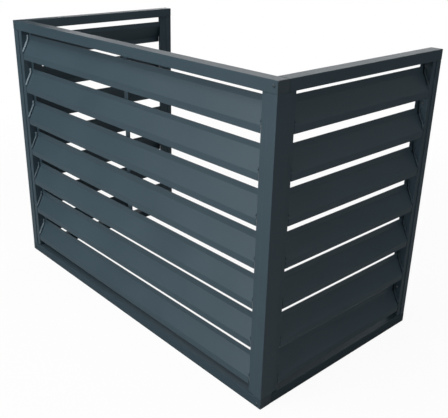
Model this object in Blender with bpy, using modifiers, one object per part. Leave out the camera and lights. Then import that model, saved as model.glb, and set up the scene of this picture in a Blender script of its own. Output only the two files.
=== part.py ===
"""Louvred screen that stands round an outdoor air conditioner.

A front panel and two side panels stand in a U, open at the back and on top. Each panel has a
rail of rectangular tube along its top and bottom, a post at each end, and seven slats folded
to a Z. A slat's ends carry a tab each, and the tabs sit in slanted slots in the webs of two
slat holders, which stand against the posts.

Lengths are in metres. +Z is up and the front faces -Y. The origin is on the ground, in the
middle of the screen's width and depth. Seen from outside, a panel's own X runs along it to
the right, its own Y runs inwards from its outer face, and its own Z runs up.
"""

import math

import bmesh
import bpy
from mathutils import Matrix, Vector

# Overall sizes
SCREEN_WIDTH = 1.010
SCREEN_DEPTH = 0.5415
SCREEN_HEIGHT = 0.7135

# Gap between two pieces that touch
FIT = 0.0003

# Rails and posts
RAIL_HEIGHT = 0.0245
PANEL_THICKNESS = 0.0305
REAR_POST_WIDTH = 0.016
CORNER_POST_FACE = 0.023
CORNER_POST_STEP = 0.0063
TUBE_WALL = 0.0012
TUBE_BEND = 0.00065

# Caps in the rails' ends
CAP_PLATE = 0.0015
CAP_PLUG = 0.005
CAP_PLUG_RADIUS = 0.0005

# Slat holders
HOLDER_WIDTH = 0.016
REAR_HOLDER_WIDTH = 0.0135
HOLDER_LIP = 0.0125
HOLDER_LIP_SETBACK = 0.003
HOLDER_FRONT_SETBACK = 0.0005
HOLDER_BACK_SETBACK = 0.001
HOLDER_SHEET = 0.0015
HOLDER_BEND = 0.0012

# Slats
SLAT_COUNT = 7
SLAT_TOP_GAP = 0.0118
SLAT_BOTTOM_GAP = 0.0202
SIDE_SLAT_DROP = 0.0029
SLAT_SETBACK = 0.0015
SLAT_REAR_ROOM = 0.0065
SLAT_RISE = 0.0395
SLAT_FRONT_LIP = 0.0151
SLAT_REAR_LIP = 0.0132
SLAT_SHEET = 0.0015
SLAT_BEND = 0.0025

# Tabs on the slats' ends, and the raised rim that runs along the front of each slat's end
TAB_LENGTH = 0.027
TAB_FROM_REAR_BEND = 0.003
TAB_STANDOUT = 0.0015
RIM_FROM_SLAT = 0.0043
RIM_START = 0.0115
RIM_BELOW_TOP = 0.0005
RIM_WIDTH = 0.0026
RIM_HEIGHT = 0.0028
RIM_BEND = 0.0025
RIM_EDGE = 0.0007

# Flat bar behind the middle of the front slats
STIFFENER_WIDTH = 0.015
STIFFENER_SHEET = 0.003
STIFFENER_EDGE = 0.0004

# Screws that hold the side panels behind the front panel
SCREW_FROM_SIDE = 0.010
SCREW_FROM_END = 0.010
SCREW_HEAD_RADIUS = 0.0038
SCREW_HEAD_HEIGHT = 0.0019
SCREW_SHANK_RADIUS = 0.0020
SCREW_PAST_CAP = 0.005
SCREW_POINT = 0.0025

CUT_OVERRUN = 0.001
WELD_DISTANCE = 0.00001
BEND_STEPS = 3
EDGE_STEPS = 2
TURN_STEPS = 20

# Sizes that follow from the ones above
HALF_WIDTH = SCREEN_WIDTH / 2
HALF_DEPTH = SCREEN_DEPTH / 2
POST_HEIGHT = SCREEN_HEIGHT - 2 * (RAIL_HEIGHT + FIT)
MIDDLE_HEIGHT = SCREEN_HEIGHT / 2
CORNER_POST_SIDE = PANEL_THICKNESS + CORNER_POST_STEP
SLAT_REACH = PANEL_THICKNESS - SLAT_SETBACK - SLAT_SHEET - SLAT_REAR_ROOM
SLAT_HEIGHT = SLAT_FRONT_LIP + SLAT_RISE + SLAT_REAR_LIP
SLAT_SPACE = SCREEN_HEIGHT - 2 * RAIL_HEIGHT - SLAT_TOP_GAP - SLAT_BOTTOM_GAP
SLAT_PITCH = (SLAT_SPACE - SLAT_HEIGHT) / (SLAT_COUNT - 1)
SCREW_LENGTH = PANEL_THICKNESS + CAP_PLATE + CAP_PLUG + SCREW_PAST_CAP

# Turns that lay an outline's X and Y along a panel's Y and Z, so that it is extruded along X
ALONG_RAIL = (math.pi / 2, 0, math.pi / 2)
HEAD_FORWARD = (math.pi / 2, 0, 0)


def clear_scene():
    for old in list(bpy.data.objects):
        bpy.data.objects.remove(old, do_unlink=True)


def collection_named(name):
    made = bpy.data.collections.new(name)
    bpy.context.scene.collection.children.link(made)
    return made


def painted(name, colour, roughness, metallic):
    """A powder-coated or plated finish: linear colour, roughness and metallic value."""
    material = bpy.data.materials.new(name)
    material.use_nodes = True
    shader = material.node_tree.nodes["Principled BSDF"]
    shader.inputs["Base Color"].default_value = (*colour, 1)
    shader.inputs["Roughness"].default_value = roughness
    shader.inputs["Metallic"].default_value = metallic
    return material


def placed(name, data, parent, location, turn=(0, 0, 0), material=None, collection=None):
    """An object from this mesh or curve, under this parent."""
    made = bpy.data.objects.new(name, data)
    (collection or PIECES).objects.link(made)
    made.parent = parent
    made.location = location
    made.rotation_euler = turn
    if material is not None:
        data.materials.append(material)
    return made


def helper(name, data, parent, location=(0, 0, 0), turn=(0, 0, 0)):
    """A shape that cuts or joins another one and isn't a piece itself."""
    made = placed(name, data, parent, location, turn, collection=CUTTERS)
    made.hide_render = True
    made.display_type = "WIRE"
    return made


def with_bends(corners, radius, straight=()):
    """The points of a path, with an arc of this radius at each corner but the straight ones."""
    path = []
    for index, corner in enumerate(corners):
        if index in straight:
            path.append(corner)
            continue
        to_before = (corners[index - 1] - corner).normalized()
        to_after = (corners[(index + 1) % len(corners)] - corner).normalized()
        half_angle = to_before.angle(to_after) / 2
        run_in = radius / math.tan(half_angle)
        centre = corner + (to_before + to_after).normalized() * (radius / math.sin(half_angle))
        first = (corner + to_before * run_in - centre).normalized()
        last = (corner + to_after * run_in - centre).normalized()
        for step in range(BEND_STEPS + 1):
            path.append(centre + first.slerp(last, step / BEND_STEPS) * radius)
    return path


def inset(corners, distance):
    """The corners of a closed outline that runs anticlockwise, moved inwards by this distance."""
    moved = []
    for index, corner in enumerate(corners):
        arriving = (corner - corners[index - 1]).normalized()
        leaving = (corners[(index + 1) % len(corners)] - corner).normalized()
        first = Vector((-arriving.y, arriving.x))
        second = Vector((-leaving.y, leaving.x))
        moved.append(corner + (first + second) * (distance / (1 + first.dot(second))))
    return moved


def rectangle(width, height):
    """The corners of a rectangle about the origin, anticlockwise."""
    x = width / 2
    y = height / 2
    return [Vector((-x, -y)), Vector((x, -y)), Vector((x, y)), Vector((-x, y))]


def extruded(name, outline, length):
    """A mesh with this flat outline in X and Y, extruded along Z about its middle."""
    curve = bpy.data.curves.new(name, "CURVE")
    curve.dimensions = "2D"
    curve.fill_mode = "BOTH"
    curve.extrude = length / 2
    spline = curve.splines.new("POLY")
    spline.points.add(len(outline) - 1)
    for point, place in zip(spline.points, outline):
        point.co = (place.x, place.y, 0, 1)
    spline.use_cyclic_u = True
    drawn = placed(name + "_outline", curve, None, (0, 0, 0), collection=CUTTERS)
    graph = bpy.context.evaluated_depsgraph_get()
    mesh = bpy.data.meshes.new_from_object(drawn.evaluated_get(graph))
    bpy.data.objects.remove(drawn, do_unlink=True)
    bpy.data.curves.remove(curve)
    mesh.name = name
    shape = bmesh.new()
    shape.from_mesh(mesh)
    bmesh.ops.remove_doubles(shape, verts=shape.verts, dist=WELD_DISTANCE)
    bmesh.ops.recalc_face_normals(shape, faces=shape.faces)
    shape.to_mesh(mesh)
    shape.free()
    return mesh


def boxes(name, matrices):
    """One mesh with a box for each matrix, which turns a unit cube into it."""
    mesh = bpy.data.meshes.new(name)
    shape = bmesh.new()
    for matrix in matrices:
        bmesh.ops.create_cube(shape, size=1, matrix=matrix)
    shape.to_mesh(mesh)
    shape.free()
    return mesh


def round_bar(name, radius, length):
    """A cylinder along Z about its middle."""
    mesh = bpy.data.meshes.new(name)
    shape = bmesh.new()
    bmesh.ops.create_cone(
        shape, cap_ends=True, segments=TURN_STEPS, radius1=radius, radius2=radius, depth=length
    )
    shape.to_mesh(mesh)
    shape.free()
    return mesh


def combine(piece, other, operation):
    change = piece.modifiers.new(operation.title(), "BOOLEAN")
    change.object = other
    change.operation = operation
    change.solver = "EXACT"


def break_edges(piece, width):
    bevel = piece.modifiers.new("Bevel", "BEVEL")
    bevel.width = width
    bevel.segments = EDGE_STEPS
    bevel.limit_method = "ANGLE"


def thicken(piece, thickness):
    solidify = piece.modifiers.new("Solidify", "SOLIDIFY")
    solidify.thickness = thickness
    solidify.offset = 0
    solidify.use_even_offset = True


def folded_strip(name, path, length, closed=False, tab=None, tab_reach=0):
    """An open surface: a path in X and Y carried along Z about its middle.

    A tab, given by the two ends of one stretch of the path, runs on past both ends.
    """
    mesh = bpy.data.meshes.new(name)
    shape = bmesh.new()
    corners = [shape.verts.new((place.x, place.y, -length / 2)) for place in path]
    pairs = list(zip(corners, corners[1:]))
    if closed:
        pairs.append((corners[-1], corners[0]))
    edges = [shape.edges.new(pair) for pair in pairs]
    swept = bmesh.ops.extrude_edge_only(shape, edges=edges)
    shift_new_points(shape, swept, length)
    for side in (-1, 1) if tab else ():
        middle = (tab[0] + tab[1]) / 2
        target = Vector((middle.x, middle.y, side * length / 2))
        edge = min(shape.edges, key=lambda edge: (middle_of(edge) - target).length)
        swept = bmesh.ops.extrude_edge_only(shape, edges=[edge])
        shift_new_points(shape, swept, side * tab_reach)
    bmesh.ops.recalc_face_normals(shape, faces=shape.faces)
    shape.to_mesh(mesh)
    shape.free()
    return mesh


def add_tube(name, corners, length, parent, location, turn=(0, 0, 0)):
    """A tube of folded sheet with this outer outline, open at both ends."""
    path = with_bends(inset(corners, TUBE_WALL / 2), TUBE_BEND)
    strip = folded_strip(name, path, length, closed=True)
    made = placed(name, strip, parent, location, turn, FRAME_PAINT)
    thicken(made, TUBE_WALL)
    return made


def middle_of(edge):
    return (edge.verts[0].co + edge.verts[1].co) / 2


def shift_new_points(shape, swept, distance):
    new_points = [item for item in swept["geom"] if isinstance(item, bmesh.types.BMVert)]
    bmesh.ops.translate(shape, verts=new_points, vec=(0, 0, distance))


class Panel:
    """Where a panel stands, and how far its rails and its opening between the posts reach.

    slat_drop lowers its slats, and the holders' slots with them.
    """

    def __init__(self, name, location, turn, rails, opening, holder_widths, slat_drop=0):
        self.name = name
        self.rails = rails
        self.opening = opening
        self.holder_widths = holder_widths
        self.slat_drop = slat_drop
        self.stand = bpy.data.objects.new(name + "_panel", None)
        PIECES.objects.link(self.stand)
        self.stand.location = location
        self.stand.rotation_euler = (0, 0, turn)


def rail_levels():
    """The name and the middle height of the top rail and the bottom rail."""
    return (("top", SCREEN_HEIGHT - RAIL_HEIGHT / 2), ("bottom", RAIL_HEIGHT / 2))


def add_rails(panel, ends):
    """Both rails of a panel, with a cap in each end: ends names them, left and then right."""
    low, high = panel.rails
    section = rectangle(PANEL_THICKNESS, RAIL_HEIGHT)
    length = high - low - 2 * (CAP_PLATE + FIT)
    made = {}
    for level, height in rail_levels():
        name = f"{panel.name}_{level}_rail"
        middle = ((low + high) / 2, PANEL_THICKNESS / 2, height)
        made[level] = add_tube(name, section, length, panel.stand, middle, ALONG_RAIL)
        for end, place, inwards in ((ends[0], low, 1), (ends[1], high, -1)):
            made[level, end] = add_rail_cap(f"{name}_cap_{end}", panel, place, inwards, height)
    return made


def add_rail_cap(name, panel, end, inwards, height):
    """A plate that closes a rail's end, with a plug that fits inside the tube."""
    outline = rectangle(PANEL_THICKNESS, RAIL_HEIGHT)
    plate_outline = with_bends(outline, TUBE_BEND + TUBE_WALL / 2)
    plug_outline = with_bends(inset(outline, TUBE_WALL + FIT), CAP_PLUG_RADIUS)
    plug_length = CAP_PLUG + CAP_PLATE / 2
    plate_place = (end + inwards * CAP_PLATE / 2, PANEL_THICKNESS / 2, height)
    plug_middle = end + inwards * (CAP_PLATE / 2 + plug_length / 2)
    plug = helper(
        name + "_plug",
        extruded(name + "_plug", plug_outline, plug_length),
        panel.stand,
        (plug_middle, PANEL_THICKNESS / 2, height),
        ALONG_RAIL,
    )
    plate = extruded(name, plate_outline, CAP_PLATE)
    cap = placed(name, plate, panel.stand, plate_place, ALONG_RAIL, CAP_PAINT)
    combine(cap, plug, "UNION")
    return cap


def add_corner_post(side_name, side):
    """A stepped tube at a front corner: side is -1 on the left and 1 on the right.

    Its front stretch leaves room for the front panel's slat holder, and its rear stretch is as
    wide as the side panel is thick, to back that panel's holder.
    """
    name = f"front_{side_name}_corner_post"
    outline = [
        Vector((0, 0)),
        Vector((CORNER_POST_FACE, 0)),
        Vector((CORNER_POST_FACE, PANEL_THICKNESS)),
        Vector((PANEL_THICKNESS, PANEL_THICKNESS)),
        Vector((PANEL_THICKNESS, CORNER_POST_SIDE)),
        Vector((0, CORNER_POST_SIDE)),
    ]
    if side > 0:
        outline = [Vector((-corner.x, corner.y)) for corner in reversed(outline)]
    place = (side * HALF_WIDTH, -HALF_DEPTH, MIDDLE_HEIGHT)
    add_tube(name, outline, POST_HEIGHT, None, place)


def add_rear_post(side_name, side):
    name = f"{side_name}_rear_post"
    section = rectangle(PANEL_THICKNESS, REAR_POST_WIDTH)
    place = (
        side * (HALF_WIDTH - PANEL_THICKNESS / 2),
        HALF_DEPTH - REAR_POST_WIDTH / 2,
        MIDDLE_HEIGHT,
    )
    add_tube(name, section, POST_HEIGHT, None, place)


def slat_bottoms(panel):
    """The height of each slat's lower edge, from the top slat down."""
    highest = SCREEN_HEIGHT - RAIL_HEIGHT - SLAT_TOP_GAP - SLAT_HEIGHT - panel.slat_drop
    return [highest - number * SLAT_PITCH for number in range(SLAT_COUNT)]


def slat_corners():
    """The middle line of a slat's sheet, as depth and height above the slat's lower edge.

    The front lip, the slope up and back, the tab's stretch of the slope, and the rear lip.
    """
    front = SLAT_SETBACK + SLAT_SHEET / 2
    low_bend = Vector((front, SLAT_FRONT_LIP))
    high_bend = Vector((front + SLAT_REACH, SLAT_FRONT_LIP + SLAT_RISE))
    slope = (high_bend - low_bend).normalized()
    tab_high = high_bend - slope * TAB_FROM_REAR_BEND
    tab_low = tab_high - slope * TAB_LENGTH
    return [
        Vector((front, 0)),
        low_bend,
        tab_low,
        tab_high,
        high_bend,
        Vector((front + SLAT_REACH, SLAT_HEIGHT)),
    ]


def add_slats(panel):
    low = panel.opening[0] + panel.holder_widths[0]
    high = panel.opening[1] - panel.holder_widths[1]
    length = high - low - 2 * FIT
    corners = slat_corners()
    tab = (corners[2], corners[3])
    path = with_bends(corners, SLAT_BEND, straight=(0, 2, 3, 5))
    tab_reach = FIT + HOLDER_SHEET + TAB_STANDOUT
    for number, bottom in enumerate(slat_bottoms(panel), start=1):
        name = f"{panel.name}_slat_{number}"
        strip = folded_strip(name, path, length, tab=tab, tab_reach=tab_reach)
        place = ((low + high) / 2, 0, bottom)
        slat = placed(name, strip, panel.stand, place, ALONG_RAIL, SLAT_PAINT)
        thicken(slat, SLAT_SHEET)


def slot_frame():
    """Turns a unit cube's Y across a slat's slope and its Z up along it, at the tab's middle."""
    corners = slat_corners()
    slope = corners[3] - corners[2]
    middle = (corners[2] + corners[3]) / 2
    tilt = Matrix.Rotation(-math.atan2(slope.x, slope.y), 4, "X")
    return Matrix.Translation((0, middle.x, middle.y)) @ tilt


def rim_path():
    """The middle line of a rim, in front of a slat's slope and its rear lip."""
    corners = slat_corners()
    slope = (corners[4] - corners[1]).normalized()
    forward = Vector((-slope.y, slope.x))
    lip_forward = Vector((-1, 0))
    mitre = (forward + lip_forward) / (1 + forward.dot(lip_forward))
    points = [
        corners[1] + slope * RIM_START + forward * RIM_FROM_SLAT,
        corners[4] + mitre * RIM_FROM_SLAT,
        corners[5] + lip_forward * RIM_FROM_SLAT - Vector((0, RIM_BELOW_TOP)),
    ]
    return with_bends(points, RIM_BEND, straight=(0, 2))


def rims(name, bottoms, length):
    """One mesh with a rim's open surface for each slat's lower edge in bottoms."""
    mesh = bpy.data.meshes.new(name)
    shape = bmesh.new()
    path = rim_path()
    for bottom in bottoms:
        line = [shape.verts.new((place.x, place.y + bottom, -length / 2)) for place in path]
        edges = [shape.edges.new(pair) for pair in zip(line, line[1:])]
        swept = bmesh.ops.extrude_edge_only(shape, edges=edges)
        shift_new_points(shape, swept, length)
    bmesh.ops.recalc_face_normals(shape, faces=shape.faces)
    shape.to_mesh(mesh)
    shape.free()
    return mesh


def add_holder(panel, end_name, post_face, inwards, width):
    """A tube with a web that is slotted for the slats' tabs, a rim for each slat, and a lip.

    The lip reaches from the web behind the slats. post_face is the panel's X at the post,
    inwards is 1 or -1, from the post to the slats, and width is from the post to the slats.
    """
    name = f"{panel.name}_{end_name}_slat_holder"
    front = HOLDER_FRONT_SETBACK
    back = PANEL_THICKNESS - HOLDER_BACK_SETBACK
    outline = [
        Vector((inwards * FIT, front)),
        Vector((inwards * width, front)),
        Vector((inwards * width, back)),
        Vector((inwards * FIT, back)),
    ]
    if inwards < 0:
        outline.reverse()
    path = with_bends(inset(outline, HOLDER_SHEET / 2), HOLDER_BEND)
    strip = folded_strip(name, path, POST_HEIGHT, closed=True)
    place = (post_face, 0, MIDDLE_HEIGHT)
    holder = placed(name, strip, panel.stand, place, material=HOLDER_PAINT)
    thicken(holder, HOLDER_SHEET)

    web = post_face + inwards * (width - HOLDER_SHEET / 2)
    lip_length = HOLDER_LIP + HOLDER_SHEET / 2
    lip_size = Matrix.Diagonal((lip_length, HOLDER_SHEET, POST_HEIGHT, 1))
    lip_depth = back - HOLDER_LIP_SETBACK - HOLDER_SHEET / 2
    lip_place = (web + inwards * lip_length / 2, lip_depth, MIDDLE_HEIGHT)
    lip = helper(name + "_lip", boxes(name + "_lip", [lip_size]), panel.stand, lip_place)

    rim_length = RIM_HEIGHT + HOLDER_SHEET / 2
    rim_place = (web + inwards * rim_length / 2, 0, 0)
    strips = rims(name + "_rims", slat_bottoms(panel), rim_length)
    rim_helper = helper(name + "_rims", strips, panel.stand, rim_place, ALONG_RAIL)
    thicken(rim_helper, RIM_WIDTH)
    break_edges(rim_helper, RIM_EDGE)

    slot_depth = HOLDER_SHEET + 2 * CUT_OVERRUN
    slot_size = Matrix.Diagonal((slot_depth, SLAT_SHEET + 2 * FIT, TAB_LENGTH + 2 * FIT, 1))
    slots = [
        Matrix.Translation((web, 0, bottom)) @ slot_frame() @ slot_size
        for bottom in slat_bottoms(panel)
    ]
    slot_helper = helper(name + "_slots", boxes(name + "_slots", slots), panel.stand)
    combine(holder, lip, "UNION")
    combine(holder, rim_helper, "UNION")
    combine(holder, slot_helper, "DIFFERENCE")


def add_holders(panel, ends):
    low, high = panel.opening
    low_width, high_width = panel.holder_widths
    add_holder(panel, ends[0], low, 1, low_width)
    add_holder(panel, ends[1], high, -1, high_width)


def add_stiffener(panel):
    """A flat bar between the rails, flush with the back of the panel."""
    size = Matrix.Diagonal((STIFFENER_WIDTH, STIFFENER_SHEET, POST_HEIGHT, 1))
    name = panel.name + "_centre_stiffener"
    place = (0, PANEL_THICKNESS - STIFFENER_SHEET / 2, MIDDLE_HEIGHT)
    bar = placed(name, boxes(name, [size]), panel.stand, place, material=FRAME_PAINT)
    break_edges(bar, STIFFENER_EDGE)


def screw_profile():
    """A screw's outline from the middle of its domed head to its point, as radius and height."""
    dome = []
    for step in range(EDGE_STEPS * 2 + 1):
        turn = math.pi / 2 * step / (EDGE_STEPS * 2)
        dome.append((SCREW_HEAD_RADIUS * math.sin(turn), SCREW_HEAD_HEIGHT * math.cos(turn)))
    return dome + [
        (SCREW_SHANK_RADIUS, 0),
        (SCREW_SHANK_RADIUS, SCREW_POINT - SCREW_LENGTH),
        (0, -SCREW_LENGTH),
    ]


def add_corner_screws(front, front_rails, side_rails):
    """Screws through the front rails into the caps in the side rails' front ends."""
    hole_length = 2 * (SCREW_LENGTH + CUT_OVERRUN)
    for side_name, side in (("left", -1), ("right", 1)):
        x = side * (HALF_WIDTH - SCREW_FROM_SIDE)
        levels = (("top", SCREEN_HEIGHT - SCREW_FROM_END), ("bottom", SCREW_FROM_END))
        for level, z in levels:
            name = f"corner_screw_{level}_{side_name}"
            outline = bpy.data.meshes.new(name)
            points = [(radius, 0, height) for radius, height in screw_profile()]
            outline.from_pydata(points, list(zip(range(len(points)), range(1, len(points)))), [])
            place = (x, -FIT, z)
            screw = placed(name, outline, front.stand, place, HEAD_FORWARD, SCREW_PLATING)
            turning = screw.modifiers.new("Screw", "SCREW")
            turning.steps = TURN_STEPS
            turning.render_steps = TURN_STEPS
            turning.use_merge_vertices = True
            turning.merge_threshold = WELD_DISTANCE
            turning.use_normal_calculate = True
            hole = helper(
                name + "_hole",
                round_bar(name + "_hole", SCREW_SHANK_RADIUS + FIT, hole_length),
                front.stand,
                (x, 0, z),
                HEAD_FORWARD,
            )
            combine(front_rails[level], hole, "DIFFERENCE")
            combine(side_rails[side_name][level, "front"], hole, "DIFFERENCE")


clear_scene()
PIECES = collection_named("air_conditioner_screen")
CUTTERS = collection_named("cutters")
FRAME_PAINT = painted("frame_powder_coat", (0.047, 0.068, 0.082), 0.42, 0.0)
HOLDER_PAINT = painted("holder_powder_coat", (0.042, 0.061, 0.074), 0.45, 0.0)
SLAT_PAINT = painted("slat_powder_coat", (0.055, 0.082, 0.100), 0.38, 0.0)
CAP_PAINT = painted("cap_moulding", (0.045, 0.064, 0.077), 0.50, 0.0)
SCREW_PLATING = painted("screw_plating", (0.110, 0.120, 0.125), 0.35, 0.9)

FRONT = Panel(
    "front",
    (0, -HALF_DEPTH, 0),
    0,
    rails=(-HALF_WIDTH, HALF_WIDTH),
    opening=(-HALF_WIDTH + CORNER_POST_FACE, HALF_WIDTH - CORNER_POST_FACE),
    holder_widths=(HOLDER_WIDTH, HOLDER_WIDTH),
)
RIGHT = Panel(
    "right",
    (HALF_WIDTH, 0, 0),
    math.pi / 2,
    rails=(-HALF_DEPTH + PANEL_THICKNESS + FIT, HALF_DEPTH),
    opening=(-HALF_DEPTH + CORNER_POST_SIDE, HALF_DEPTH - REAR_POST_WIDTH),
    holder_widths=(HOLDER_WIDTH, REAR_HOLDER_WIDTH),
    slat_drop=SIDE_SLAT_DROP,
)
LEFT = Panel(
    "left",
    (-HALF_WIDTH, 0, 0),
    -math.pi / 2,
    rails=(-HALF_DEPTH, HALF_DEPTH - PANEL_THICKNESS - FIT),
    opening=(-HALF_DEPTH + REAR_POST_WIDTH, HALF_DEPTH - CORNER_POST_SIDE),
    holder_widths=(REAR_HOLDER_WIDTH, HOLDER_WIDTH),
    slat_drop=SIDE_SLAT_DROP,
)

FRONT_RAILS = add_rails(FRONT, ("left", "right"))
SIDE_RAILS = {
    "right": add_rails(RIGHT, ("front", "rear")),
    "left": add_rails(LEFT, ("rear", "front")),
}
for corner_name, corner_side in (("left", -1), ("right", 1)):
    add_corner_post(corner_name, corner_side)
    add_rear_post(corner_name, corner_side)
add_holders(FRONT, ("left", "right"))
add_holders(RIGHT, ("front", "rear"))
add_holders(LEFT, ("rear", "front"))
for louvred_panel in (FRONT, RIGHT, LEFT):
    add_slats(louvred_panel)
add_stiffener(FRONT)
add_corner_screws(FRONT, FRONT_RAILS, SIDE_RAILS)
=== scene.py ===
"""Looks of a louvred screen that stands round an outdoor air conditioner.

Three panels of satin anthracite powder-coated metal stand in a U. The rails, posts, slats, slat
holders and screws are drawn again here as finely as they are made: sheet with real bends and
broken edges, tube with rounded corners, and screws with driven heads.

Lengths are in metres and colours are linear. The row frame is the CAD's: +Z up, the front faces
-Y, and the origin is on the ground in the middle.
"""

import functools
import logging
import math
from collections.abc import Sequence
from dataclasses import dataclass, field
from enum import Enum

import bpy
import numpy as np
from mathutils import Matrix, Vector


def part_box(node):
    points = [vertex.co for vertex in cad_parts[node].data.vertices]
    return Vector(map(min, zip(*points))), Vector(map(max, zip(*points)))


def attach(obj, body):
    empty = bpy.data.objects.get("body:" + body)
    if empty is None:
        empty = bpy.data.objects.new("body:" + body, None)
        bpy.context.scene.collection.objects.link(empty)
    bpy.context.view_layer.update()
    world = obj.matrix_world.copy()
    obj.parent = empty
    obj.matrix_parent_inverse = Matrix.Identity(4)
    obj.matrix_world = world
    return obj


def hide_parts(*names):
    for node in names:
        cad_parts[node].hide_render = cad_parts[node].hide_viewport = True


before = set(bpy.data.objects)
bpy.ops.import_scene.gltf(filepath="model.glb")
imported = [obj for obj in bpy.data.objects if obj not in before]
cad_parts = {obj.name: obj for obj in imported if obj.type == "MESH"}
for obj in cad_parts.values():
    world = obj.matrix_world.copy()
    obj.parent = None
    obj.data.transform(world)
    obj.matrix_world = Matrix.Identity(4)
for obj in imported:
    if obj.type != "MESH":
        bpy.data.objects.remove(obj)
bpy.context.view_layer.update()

LOG = logging.getLogger("screen")
BODY = "root"
SLAT_COUNT = 7

Pair = tuple[float, float]
Colour = tuple[float, float, float]
Tree = bpy.types.NodeTree
Node = bpy.types.Node
Socket = bpy.types.NodeSocket
Value = Socket | float | tuple[float, ...]


class Side(Enum):
    """The three panels, by the side on which they stand."""

    FRONT = "front"
    RIGHT = "right"
    LEFT = "left"


class Level(Enum):
    """The two rails of a panel."""

    TOP = "top"
    BOTTOM = "bottom"


COAT: Colour = (0.0395, 0.069, 0.089)

# How much shorter the slats' sheet is at each end of a panel.
SLAT_PLAY = {
    Side.FRONT: (0.003, 0.0),
    Side.RIGHT: (0.0, 0.003),
    Side.LEFT: (0.0, 0.0),
}

# How much taller each slat's rear lip is than the drawn one, from the top slat down.
LIP_RISES = {
    Side.FRONT: (-0.0005, -0.0013, 0.0004, 0.0028, 0.0, 0.0021, -0.0007),
    Side.RIGHT: (0.0012, 0.0, 0.0017, 0.0009, 0.0026, 0.0, 0.0034),
    Side.LEFT: (0.0,) * SLAT_COUNT,
}

# The ends of each panel, in the order of its own first axis.
HOLDER_ENDS = {
    Side.FRONT: ("left", "right"),
    Side.RIGHT: ("front", "rear"),
    Side.LEFT: ("rear", "front"),
}

# The holders whose rims carry a painted highlight.
HIGHLIT_HOLDERS = ("front_left",)

# Shares of a wall or an edge: the broken end of a tube, its inner bend and the least a sheet keeps.
TUBE_BREAK = 1 / 6
TUBE_INNER_BEND = 1 / 4
LEAST_EDGE = 1 / 8

# Angle in degrees past which an edge stays sharp in a smooth mesh.
CREASE = 35.0

# The middle of a noise texture's range, which is stretched to the whole of a finish's own.
NOISE_LOW = 0.3
NOISE_HIGH = 0.7

WHITE = (1.0, 1.0, 1.0, 1.0)


def unit(vectors: np.ndarray) -> np.ndarray:
    """Each vector divided by its own length."""
    return vectors / np.linalg.norm(vectors, axis=-1, keepdims=True)


def corner_arcs(corners: np.ndarray, radius: float, steps: int) -> np.ndarray:
    """Arcs that round the corners between each point's two neighbours.

    Each arc turns about the point at radius / sin(half the corner's angle) along the bisector,
    from the foot of the perpendicular on one side to that on the other, in equal turns.

    Args:
        corners: Rows of (before, corner, after), as an array of shape (n, 3, 2).
        radius: Radius of every arc.
        steps: Number of straight pieces in an arc.

    Returns:
        The arcs' points, as an array of shape (n, steps + 1, 2).
    """
    before = unit(corners[:, 0] - corners[:, 1])
    after = unit(corners[:, 2] - corners[:, 1])
    half = np.arccos(np.clip((before * after).sum(axis=1), -1, 1)) / 2
    centre = corners[:, 1] + unit(before + after) * (radius / np.sin(half))[:, None]
    run = (radius / np.tan(half))[:, None]
    first = corners[:, 1] + before * run - centre
    last = corners[:, 1] + after * run - centre
    sweep = (math.pi - 2 * half)[:, None, None]
    part = np.linspace(0, 1, steps + 1)[None, :, None]
    turned = first[:, None] * np.sin((1 - part) * sweep) + last[:, None] * np.sin(part * sweep)
    return centre[:, None] + turned / np.sin(sweep)


def rounded_outline(corners: np.ndarray, radius: float, steps: int) -> np.ndarray:
    """A closed outline with an arc at each corner, in the corners' order."""
    trios = np.stack([np.roll(corners, 1, axis=0), corners, np.roll(corners, -1, axis=0)], axis=1)
    return corner_arcs(trios, radius, steps).reshape(-1, 2)


def rectangle(low: Sequence[float], high: Sequence[float]) -> np.ndarray:
    """The corners of a rectangle, anticlockwise from its lowest."""
    return np.array([(low[0], low[1]), (high[0], low[1]), (high[0], high[1]), (low[0], high[1])])


def bent_path(corners: np.ndarray, radius: float, steps: int) -> np.ndarray:
    """An open path through the corners, with an arc at each corner but the two ends.

    Args:
        corners: The corners, shape (n, 2).
        radius: Radius of every arc.
        steps: Number of straight pieces in an arc.

    Returns:
        The path's points.
    """
    trios = np.stack([corners[:-2], corners[1:-1], corners[2:]], axis=1)
    arcs = corner_arcs(trios, radius, steps).reshape(-1, 2)
    return np.concatenate([corners[:1], arcs, corners[-1:]])


def straight(start: Sequence[float], end: Sequence[float]) -> np.ndarray:
    """An open path of two pieces in one line."""
    return np.linspace(start, end, 3)


def path_normals(path: np.ndarray) -> np.ndarray:
    """The mitre at each point of an open path: its bisector, 1 / cos(half the turn) long.

    Args:
        path: The path's points, shape (n, 2).

    Returns:
        (n1 + n2) / (1 + n1 . n2), from the left normals of the pieces before and after each point.
    """
    along = unit(np.diff(path, axis=0))
    along = np.concatenate([along[:1], along, along[-1:]])
    across = np.stack([-along[:, 1], along[:, 0]], axis=1)
    total = across[:-1] + across[1:]
    return total / (1 + (across[:-1] * across[1:]).sum(axis=1))[:, None]


def inset_corners(corners: np.ndarray, distance: float) -> np.ndarray:
    """The corners of an anticlockwise outline moved inwards along their mitres."""
    closed = np.concatenate([corners[-1:], corners, corners[:1]])
    return corners + path_normals(closed)[1:-1] * distance


def grid_faces(rows: int, columns: int, wrap_rows: bool, wrap_columns: bool) -> np.ndarray:
    """Four-cornered faces between neighbouring points of a grid numbered row by row.

    Args:
        rows: Number of rows of points.
        columns: Number of points in a row.
        wrap_rows: Whether the last row joins the first.
        wrap_columns: Whether the last column joins the first.

    Returns:
        Point numbers, as an array of shape (faces, 4).
    """
    row = np.arange(rows if wrap_rows else rows - 1)[:, None]
    column = np.arange(columns if wrap_columns else columns - 1)[None, :]
    next_row = (row + 1) % rows
    next_column = (column + 1) % columns
    near, far = row * columns, next_row * columns
    corners = [near + column, near + next_column, far + next_column, far + column]
    return np.stack(np.broadcast_arrays(*corners), axis=-1).reshape(-1, 4)


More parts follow.
